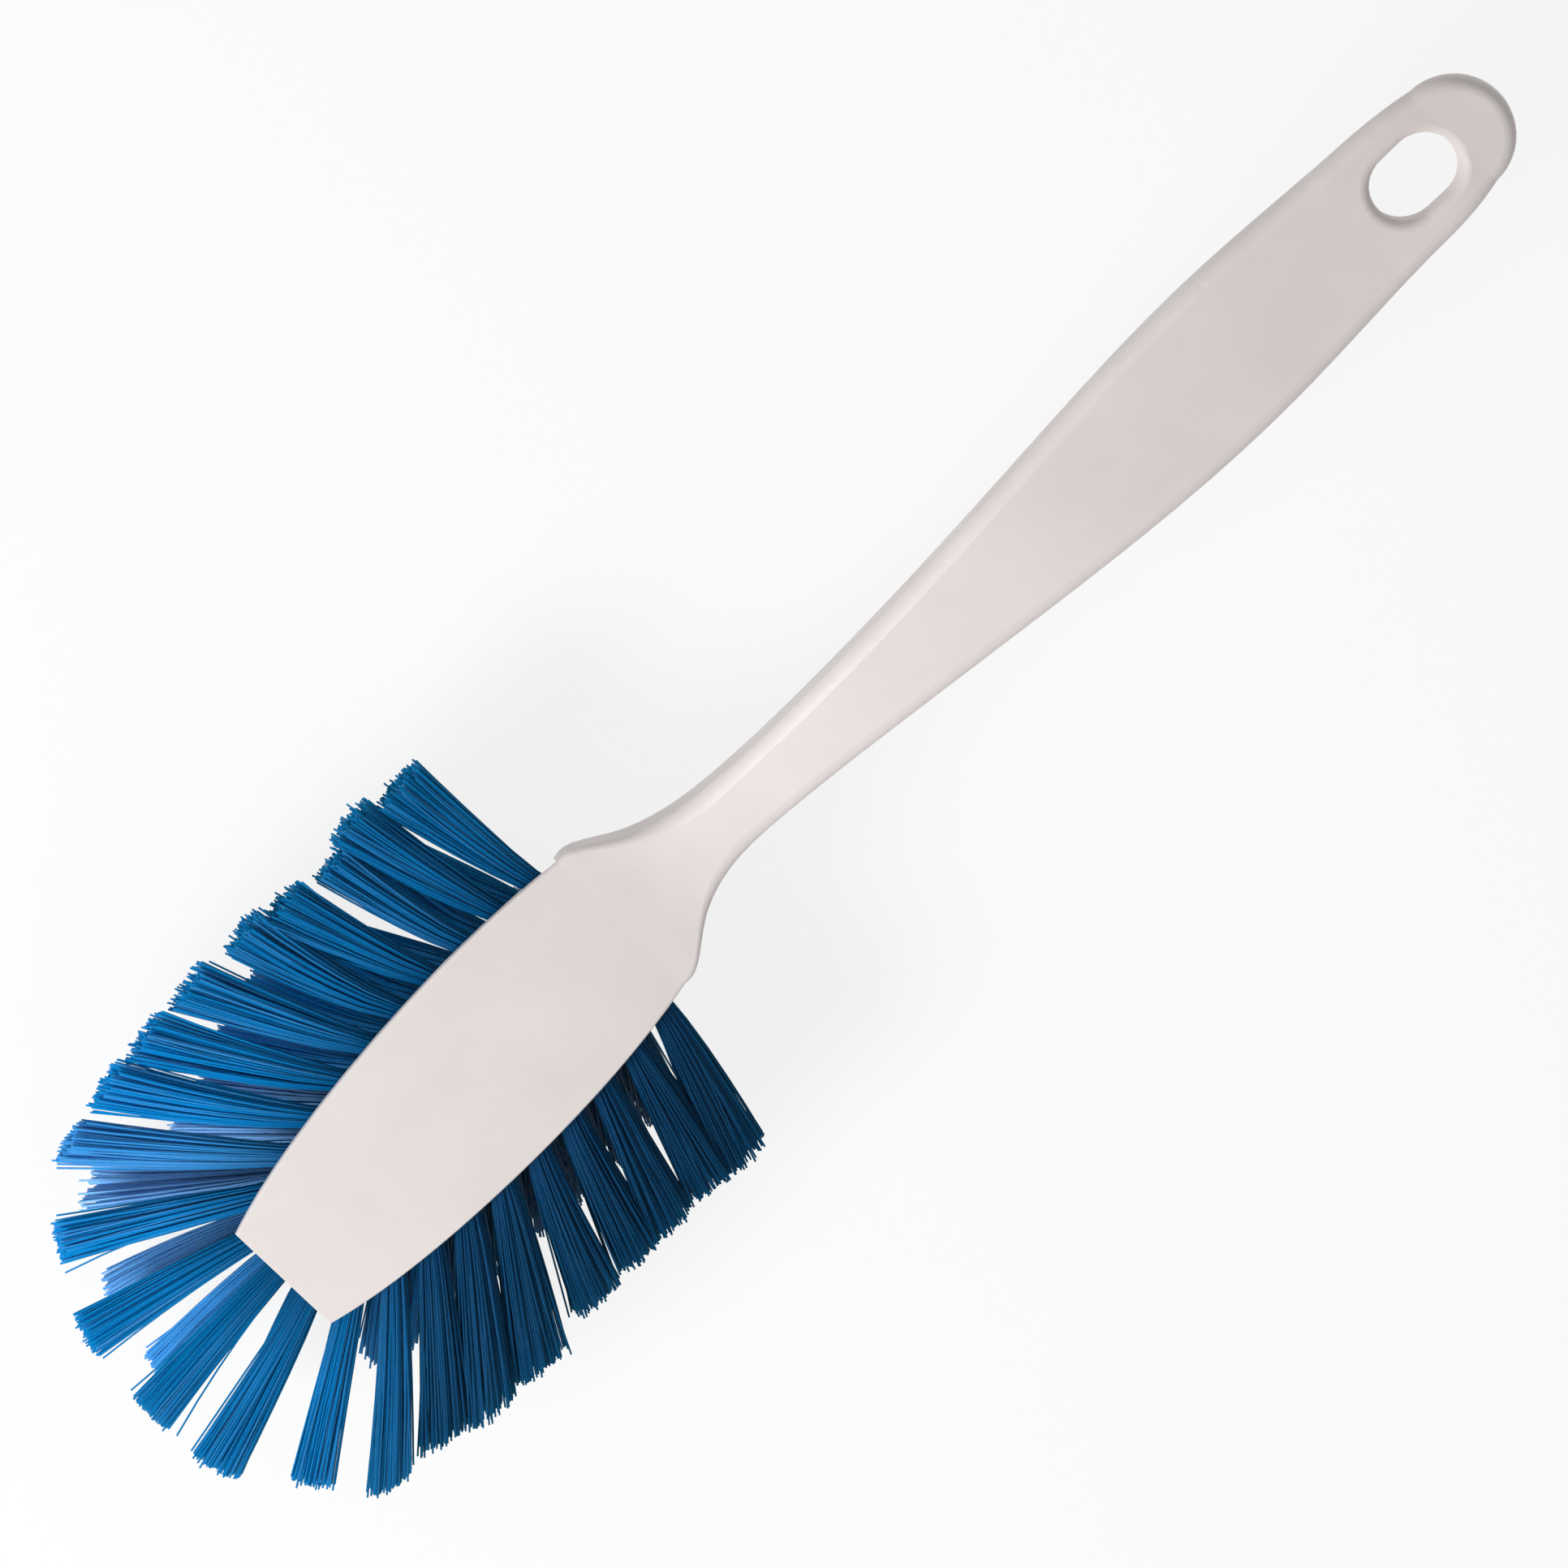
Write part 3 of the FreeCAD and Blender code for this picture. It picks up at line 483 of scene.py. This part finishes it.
def trim_normal(name, axis):
    """Side and centre rows are trimmed nearly level with the long axis, the rest square to the tuft."""
    normal = np.array(axis)
    if "_left_" in name or "_right_" in name:
        normal[0] *= SIDE_TRIM_SHARE
    return normal / np.linalg.norm(normal)


def tuft_set(name):
    """Push of a tuft's cut end as a vector, its change of length and its spread."""
    row, _, place = name.rpartition("_")
    if row in SIDE_SETS:
        towards_handle, longer, spread = (values[int(place) - 1] for values in SIDE_SETS[row])
        leftwards = 0.0
    else:
        towards_handle, leftwards, longer, spread = NOSE_SETS.get(name, NO_SET)
    return np.array((towards_handle, leftwards, 0.0)) * SET_UNIT, longer * SET_UNIT, spread


def filament_paths(name, solid, random):
    """Centre lines of a tuft's filaments, as an array of filament, ring and coordinate."""
    first, second = side_directions(solid.axis)
    push, longer, spread = tuft_set(name)
    count = np.arange(FILAMENTS)
    share = np.sqrt((count + 0.5) / FILAMENTS)
    angle = count * GOLDEN_ANGLE + random.uniform(0.0, math.tau)
    angle = angle + random.normal(0.0, ANGLE_JITTER, FILAMENTS)
    outward = np.cos(angle)[:, None] * first + np.sin(angle)[:, None] * second
    root_reach = share * (solid.root_radius - FILAMENT_RADIUS)
    tip_reach = share * (solid.tip_radius * spread - FILAMENT_RADIUS)
    tip_reach = tip_reach * random.normal(1.0, REACH_JITTER, FILAMENTS)

    bend_size = np.where(random.random(FILAMENTS) < STRAY_SHARE, STRAY_BEND, 1.0) * STRAND_BEND
    bend = random.normal(0.0, 1.0, (FILAMENTS, 2)) * bend_size[:, None]
    bend = bend + random.normal(0.0, TUFT_BEND, 2)
    bend = bend[:, :1] * first + bend[:, 1:] * second

    def point(run):
        """Places on the filaments at a run of 0 at the root and 1 at the end of the CAD solid."""
        free = np.clip((run - solid.collar) / (1.0 - solid.collar), 0.0, None)
        reach = root_reach + (tip_reach - root_reach) * free**FLARE_POWER
        line = solid.root + np.outer(run * solid.length, solid.axis)
        set_by_use = (free**BEND_POWER)[:, None] * bend + np.outer(free**LEAN_POWER, push)
        return line + reach[:, None] * outward + set_by_use

    normal = trim_normal(name, solid.axis)
    cut_middle = solid.tip + push + longer * solid.axis
    jitter = random.normal(0.0, TIP_JITTER, FILAMENTS)
    cut = np.ones(FILAMENTS)
    for _ in range(CUT_ROUNDS):
        over = (point(cut) - cut_middle) @ normal - jitter
        cut = cut - over / (solid.length * (normal @ solid.axis))
    start = np.full(FILAMENTS, ROOT_INSET / solid.length)
    runs = [start + (cut - start) * step for step in np.linspace(0.0, 1.0, FILAMENT_RINGS)]
    return np.stack([point(run) for run in runs], axis=1)


def tuft_painted_light(name, axis):
    """Painted light of a tuft: lit most at the left front and in painted shade at the right rear, with a
    painted highlight on some second-row tufts.
    """
    direction = math.degrees(math.atan2(axis[1], -axis[0]))
    painted_light = float(np.interp(direction, PAINTED_LIGHT_DIRECTIONS, PAINTED_LIGHT_SHARES))
    low, high = SECOND_ROW_HIGHLIGHT_DIRECTIONS
    # Second-row tufts near the nose and left front get a painted highlight
    if name.startswith("tuft_middle") and low < direction < high:
        painted_light += SECOND_ROW_HIGHLIGHT
    return painted_light


def filament_mesh(name, paths, painted_light, random):
    """Closed tubes along the paths, with a small rounding at each cut end."""
    first, second = side_directions(paths[:, -1].mean(0) - paths[:, 0].mean(0))
    turn = np.arange(FILAMENT_SIDES) * math.tau / FILAMENT_SIDES
    ring = np.cos(turn)[:, None] * first + np.sin(turn)[:, None] * second
    along = paths[:, -1] - paths[:, -2]
    along = along / np.linalg.norm(along, axis=1)[:, None]
    ends = paths[:, -1:] + (along * END_ROUNDING)[:, None]
    centres = np.concatenate((paths, ends), axis=1)
    rings = centres.shape[1]
    radii = np.full(rings, FILAMENT_RADIUS)
    radii[-1] = FILAMENT_RADIUS - END_ROUNDING
    points = centres[:, :, None] + radii[None, :, None, None] * ring[None, None]

    faces = []
    smooth = []
    for strand in range(len(paths)):
        base = strand * rings * FILAMENT_SIDES
        for level in range(rings - 1):
            low = base + level * FILAMENT_SIDES
            for side in range(FILAMENT_SIDES):
                beside = (side + 1) % FILAMENT_SIDES
                high = low + FILAMENT_SIDES
                faces.append((low + side, low + beside, high + beside, high + side))
                smooth.append(True)
        last = base + (rings - 1) * FILAMENT_SIDES
        faces.append(tuple(base + side for side in reversed(range(FILAMENT_SIDES))))
        faces.append(tuple(last + side for side in range(FILAMENT_SIDES)))
        smooth.extend((False, False))

    mesh = bpy.data.meshes.new(name)
    mesh.from_pydata(points.reshape(-1, 3).tolist(), [], faces)
    mesh.polygons.foreach_set("use_smooth", smooth)
    tones = np.repeat(random.random(len(paths)), rings * FILAMENT_SIDES)
    runs = np.tile(np.repeat(np.linspace(0.0, 1.0, rings), FILAMENT_SIDES), len(paths))
    # Every vertex carries the tuft's painted light and shade value
    painted_light_values = np.full(len(tones), painted_light)
    for label, values in (("strand", tones), ("along", runs), ("painted_light", painted_light_values)):
        attribute = mesh.attributes.new(label, "FLOAT", "POINT")
        attribute.data.foreach_set("value", values.astype(np.float32))
    mesh.update()
    return mesh


def add_tufts(nodes):
    """One piece of loose filaments for each tuft solid, in the same place."""
    material = bristle_plastic()
    names = sorted(name for name in nodes if name.startswith("tuft_") and name != "tuft_anchors")
    for number, name in enumerate(names):
        random = np.random.default_rng((SEED, number))
        solid = TuftSolid(nodes[name])
        paths = filament_paths(name, solid, random)
        mesh = filament_mesh(name + "_filaments", paths, tuft_painted_light(name, solid.axis), random)
        mesh.materials.append(material)
        piece = bpy.data.objects.new(name + "_filaments", mesh)
        bpy.context.scene.collection.objects.link(piece)
        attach(piece, "root")
        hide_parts(name)


def dress_solids(nodes):
    """Finishes of the CAD solids that stay in view."""
    nodes["handle_and_head"].material_slots[0].material = moulded_plastic()
    nodes["tuft_anchors"].material_slots[0].material = drawn_wire()


def add_floor(level):
    """A wide round sheet under the brush."""
    turn = [math.tau * side / FLOOR_SIDES for side in range(FLOOR_SIDES)]
    rim = [(FLOOR_RADIUS * math.cos(t), FLOOR_RADIUS * math.sin(t), level) for t in turn]
    mesh = bpy.data.meshes.new("floor")
    mesh.from_pydata(rim, [], [tuple(range(FLOOR_SIDES))])
    mesh.materials.append(floor_paper())
    floor = bpy.data.objects.new("floor", mesh)
    bpy.context.scene.collection.objects.link(floor)


def add_key_lamp(target):
    """One soft round lamp that faces the target."""
    level = math.cos(KEY_ELEVATION)
    toward = Vector((
        level * math.cos(KEY_AZIMUTH),
        level * math.sin(KEY_AZIMUTH),
        math.sin(KEY_ELEVATION),
    ))
    data = bpy.data.lights.new("key", "AREA")
    data.shape = "DISK"
    data.size = KEY_DIAMETER
    data.energy = KEY_POWER
    lamp = bpy.data.objects.new("key", data)
    lamp.location = target + toward * KEY_DISTANCE
    lamp.rotation_euler = toward.to_track_quat("Z", "Y").to_euler()
    bpy.context.scene.collection.objects.link(lamp)


def add_sky():
    """Even light on the object, and plain white where the view passes the floor."""
    world = bpy.data.worlds.new("sky")
    world.use_nodes = True
    tree = world.node_tree
    background = tree.nodes["Background"]
    background.inputs["Color"].default_value = WHITE
    path = tree.nodes.new("ShaderNodeLightPath")
    strength = tree.nodes.new("ShaderNodeMapRange")
    strength.inputs["To Min"].default_value = SKY_STRENGTH
    strength.inputs["To Max"].default_value = 1.0
    tree.links.new(path.outputs["Is Camera Ray"], strength.inputs["Value"])
    tree.links.new(strength.outputs["Result"], background.inputs["Strength"])
    bpy.context.scene.world = world


def add_camera(aim):
    """A long lens that leans to the brush's left side, turned so that the handle rises to the right."""
    back = Vector((0.0, math.sin(CAMERA_LEAN), math.cos(CAMERA_LEAN)))
    along = Vector((1.0, 0.0, 0.0))
    across = back.cross(along)
    right = math.cos(AXIS_TURN) * along - math.sin(AXIS_TURN) * across
    up = math.sin(AXIS_TURN) * along + math.cos(AXIS_TURN) * across
    distance = IMAGE_SIDE * METRES_PER_PIXEL * LENS / SENSOR
    data = bpy.data.cameras.new("camera")
    data.lens = LENS
    data.sensor_width = SENSOR
    data.clip_end = distance * CLIP_SHARE
    camera = bpy.data.objects.new("camera", data)
    turned = Matrix((right, up, back)).transposed()
    camera.matrix_world = Matrix.Translation(aim + back * distance) @ turned.to_4x4()
    bpy.context.scene.collection.objects.link(camera)
    bpy.context.scene.camera = camera


def clear_scene():
    """Removes the objects of the default scene."""
    for item in list(bpy.data.objects):
        bpy.data.objects.remove(item)


clear_scene()
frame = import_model()
cad_low, cad_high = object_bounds()
bpy.context.scene.view_settings.view_transform = "Standard"

handle_low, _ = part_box("handle_and_head")
mounts = {mount["name"]: mount for mount in frame["record"]["mounts"]}
head_middle = Vector(mounts["head_back"]["pos_m"])
aim_point = Vector((handle_low.x + AIM_FROM_SCRAPER, -AIM_TO_RIGHT, head_middle.z))

dress_solids(frame["nodes"])
add_tufts(frame["nodes"])
add_floor(cad_low.z)
add_key_lamp(head_middle)
add_sky()
add_camera(aim_point)
